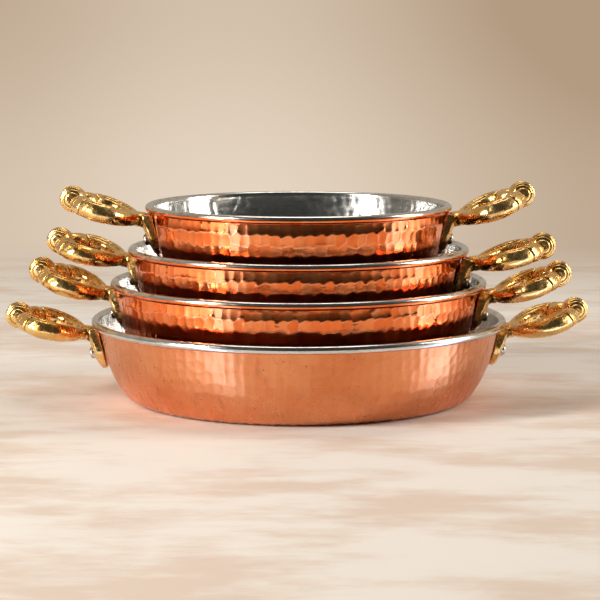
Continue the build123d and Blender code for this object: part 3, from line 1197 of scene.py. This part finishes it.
@dataclass
class Fittings:
    """The handles, rivets and rim wires of one pan."""

    pan: PanBody
    right_tilt: float
    left_tilt: float
    handle: CastHandle
    casting: bpy.types.Object
    brass: bpy.types.Material
    rivet_metal: bpy.types.Material
    wire_metal: bpy.types.Material

    def part(self, side: Side, kind: str) -> str:
        """Name of a piece on one side of the pan."""
        return f"{self.pan.body}_{side.name.lower()}_{kind}"

    def fit_handle(self, side: Side) -> bpy.types.Object:
        """Copies the casting to one side of the pan.

        Args:
            side: the side of the pan.

        Returns:
            The handle in place.
        """
        handle = Bench.put(self.part(side, "casting"), self.casting.data.copy())
        handle.data.name = handle.name
        tilt = self.right_tilt if side is Side.RIGHT else self.left_tilt
        Bench.shape(handle, lambda p: self.handle.trued(p, tilt))
        turn = Matrix.Rotation(radians(self.pan.turn + side.value), 4, "Z")
        rim = Matrix.Translation((self.pan.rim_radius, 0, self.pan.rim_height))
        handle.data.transform(Matrix.Scale(MM, 4) @ turn @ rim)
        Bench.dress(handle, self.brass, self.pan.body, "brass_handle")
        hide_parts(self.part(side, "handle"))
        return handle

    def build(self) -> None:
        """Fits both handles and finishes the rivets and the wire."""
        for side in Side:
            self.fit_handle(side)
            Bench.coat(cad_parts[self.part(side, "rivet")], self.rivet_metal)
        Bench.coat(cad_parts[f"{self.pan.body}_rim_wire"], self.wire_metal)


@dataclass(frozen=True)
class Softbox:
    """A large soft lamp that shines at the object, placed by its turn from the camera's side."""

    name: str
    turn: float
    distance: float
    height: float
    size: tuple[float, float]
    power: float
    colour: Colour = (1.0, 0.95, 0.88)
    target: tuple[float, float, float] = (0.0, 0.0, 0.05)

    def build(self) -> None:
        """Hangs the lamp."""
        way = radians(self.turn)
        place = Vector((self.distance * sin(way), -self.distance * cos(way), self.height))
        lamp = bpy.data.lights.new(self.name, "AREA")
        lamp.shape = "RECTANGLE"
        lamp.size, lamp.size_y = self.size
        lamp.energy = self.power
        lamp.color = self.colour
        holder = Bench.put(self.name, lamp)
        holder.location = place
        holder.rotation_mode = "QUATERNION"
        holder.rotation_quaternion = (Vector(self.target) - place).to_track_quat("-Z", "Y")
        holder.visible_camera = False


@dataclass
class Studio:
    """Floor, backdrop, lamps and camera."""

    floor_colour: Colour = (0.80, 0.76, 0.715)
    vein_colour: Colour = (0.64, 0.50, 0.40)
    backdrop: Colour = (0.79, 0.665, 0.53)
    backdrop_shade: Colour = (0.45, 0.325, 0.22)
    # Where painted shade darkens the backdrop to its edge: headings at which a step starts and ends, and its
    # shares
    edge_right: tuple = (-0.03, 0.16, 0.0, 0.8)
    edge_left: tuple = (-0.16, -0.04, 0.36, 0.0)
    edge_up: tuple = (-0.09, 0.02, 0.0, 0.42)
    # The room that reflections see: dark on the camera's side up to the first heading, and the
    # backdrop's colour from the second
    dark: Colour = (0.075, 0.077, 0.07)
    room_headings: tuple = (-0.35, 0.5)
    room_strength: float = 0.58
    vein_grains: float = 15.0
    fine_vein_grains: float = 70.0
    half_floor: float = 4.0
    # Distances at which the floor fades into the backdrop, and at which painted shade darkens it towards the
    # camera in reflections
    fade_start: float = 0.32
    fade_end: float = 0.9
    dark_start: float = 0.30
    dark_end: float = 0.42
    # Painted pools of light on the floor before each side lamp, glowing in reflections only: their turn from
    # the camera's side and half spread
    pools: tuple = ((-56.0, 9.0), (90.0, 10.0))
    pool_origin: tuple = (0.0, -0.075, 0.0)
    pool_glow_colour: Colour = (0.56, 0.70, 0.96)
    pool_glow_strength: float = 3.4
    pool_start: float = 0.105
    pool_full: float = 0.14
    camera_distance: float = 1.1
    camera_height: float = 0.19715
    camera_pitch: float = 7.55
    camera_yaw: float = -0.0007
    lens: float = 124.95
    lamps: tuple = (
        Softbox("left_softbox", -61.0, 1.30, 0.52, (0.15, 0.85), 25.0),
        Softbox("right_softbox", 92.0, 1.30, 0.50, (0.42, 0.85), 14.0),
        Softbox("top_softbox", 180.0, 0.35, 1.40, (0.9, 0.6), 4.5),
    )

    def glow(self, s: Shader, way: Wire) -> Wire:
        """Colours the backdrop with painted shade: bright behind the pans, darker upwards and to both sides.

        Args:
            s: the world's shader.
            way: the direction looked in.

        Returns:
            The colour.
        """
        across = s.axis("X", way)
        edge = across.ramp(*self.edge_right) + across.ramp(*self.edge_left)
        return s.blend(edge + s.axis("Z", way).ramp(*self.edge_up), self.backdrop, self.backdrop_shade)

    def in_pool(self, s: Shader, place: Wire) -> Wire:
        """Finds the painted pools of light on the floor in front of the side lamps.

        Args:
            s: the floor's shader.
            place: the place on the floor.

        Returns:
            The share of it there.
        """
        heading = s.vector("NORMALIZE", s.vector("SUBTRACT", place, self.pool_origin))
        share = 0.0
        for turn, spread in self.pools:
            way = (sin(radians(turn)), -cos(radians(turn)), 0.0)
            near = s.vector("DOT_PRODUCT", heading, way, out="Value")
            share = share + near.ramp(cos(radians(spread)), cos(radians(spread * 0.5)))
        return share

    def floor(self) -> None:
        """A pale veined floor that fades away from the object, so that the backdrop shows through;
        reflections see painted shade on it towards the camera and two glowing painted pools of light.
        """
        s = Shader.material("pale_floor")
        place = s.place()
        camera = s.to_camera()
        veins = s.noise(s.stretch(place, (0.55, 1.0, 1.0)), self.vein_grains, 6.0, 0.62)
        fine = s.noise(s.stretch(place, (0.3, 1.0, 1.0)), self.fine_vein_grains, 4.0, 0.6)
        share = (veins * 0.75 + fine * 0.25).ramp(0.44, 0.60, 0.0, 0.7)
        colour = s.blend(share, self.floor_colour, self.vein_colour)
        # Painted shade: towards the camera the floor turns dark for reflections only
        depth = s.axis("Y", place) * -1.0
        reflected_shade = depth.ramp(self.dark_start, self.dark_end) * (1 - camera)
        colour = s.blend(reflected_shade, colour, self.dark)
        matte = s.node("ShaderNodeBsdfPrincipled", None, {"Base Color": colour, "Roughness": 0.6})
        distance = s.vector("LENGTH", place, out="Value")
        fade = distance.ramp(self.fade_start, self.fade_end) * camera
        shown = s.mix(fade, matte, s.node("ShaderNodeBsdfTransparent"))
        # Painted pools of light: the floor glows here in reflections only, which lights the object's
        # highlights
        bright = {"Color": (*self.pool_glow_colour, 1.0), "Strength": self.pool_glow_strength}
        in_pool = self.in_pool(s, place) * distance.ramp(self.pool_start, self.pool_full) * (1 - camera)
        lit = s.mix(in_pool, shown, s.node("ShaderNodeEmission", None, bright))
        s.surface("ShaderNodeOutputMaterial", lit)
        floor = Bench.add("plane", "studio_floor", size=2 * self.half_floor)
        floor.data.materials.append(s.owner)

    def world(self) -> None:
        """A cream backdrop for the camera and a room that is darker on the camera's side."""
        scene = bpy.context.scene
        scene.world = scene.world or bpy.data.worlds.new("room")
        s = Shader(scene.world)
        heading = s.node("ShaderNodeTexCoord", out="Generated")
        room = s.blend(s.axis("Y", heading).ramp(*self.room_headings), self.dark, self.backdrop)
        lit = s.node("ShaderNodeBackground", None, {"Color": room, "Strength": self.room_strength})
        seen = s.node("ShaderNodeBackground", None, {"Color": self.glow(s, heading), "Strength": 1.0})
        s.surface("ShaderNodeOutputWorld", s.mix(s.to_camera(), lit, seen))

    def camera(self) -> None:
        """The camera at the photograph's place."""
        lens = bpy.data.cameras.new("camera")
        lens.lens = self.lens
        holder = Bench.put("camera", lens)
        holder.location = (0, -self.camera_distance, self.camera_height)
        holder.rotation_euler = (radians(90 - self.camera_pitch), 0, self.camera_yaw)
        bpy.context.scene.camera = holder

    def build(self) -> None:
        """Sets up the whole studio."""
        bpy.context.scene.view_settings.view_transform = "Standard"
        self.camera()
        self.floor()
        self.world()
        for lamp in self.lamps:
            lamp.build()


def main() -> None:
    """Builds the studio and the four pans."""
    logging.basicConfig(level=logging.INFO, format="%(relativeCreated)d ms, %(name)s: %(message)s")
    Studio().build()
    satin = CopperFinish(
        "satin_copper", polish=0.26, pits=0.8, ridge_glint_show=0.08,
        bright=(0.80, 0.33, 0.155), red=(0.73, 0.25, 0.10), tone_share=0.12)
    polished = CopperFinish("polished_copper")
    pans = [
        PanBody(
            "largest", 110.0, 0.0, 41.0, 2.5, satin,
            dent_depth=0.32, band=(), tin_end=-45.0, fine_reach=44.0),
        PanBody("second", 99.7, 1.2, 60.9, -3.0, polished),
        PanBody("third", 90.25, 2.4, 78.5, -5.5, polished),
        PanBody("smallest", 81.0, 3.6, 101.2, 1.0, polished),
    ]
    # How far the loops rise on each pan, right and left, in degrees
    tilts = [(16.2, 14.7), (18.6, 19.2), (14.5, 15.3), (20.5, 16.5)]
    handle = CastHandle()
    casting = handle.build()
    brass = BrassFinish().make()
    rivet_metal = PlainMetalFinish("rivet_metal", (0.72, 0.70, 0.66), (0.38, 0.34, 0.30), 0.2).make()
    wire_metal = PlainMetalFinish("wire_metal", (0.55, 0.54, 0.52), (0.30, 0.28, 0.26), 0.3).make()
    for pan, (right_tilt, left_tilt) in zip(pans, tilts):
        pan.build()
        Fittings(pan, right_tilt, left_tilt, handle, casting, brass, rivet_metal, wire_metal).build()
    bpy.data.objects.remove(casting)


if __name__ == "__main__":
    main()
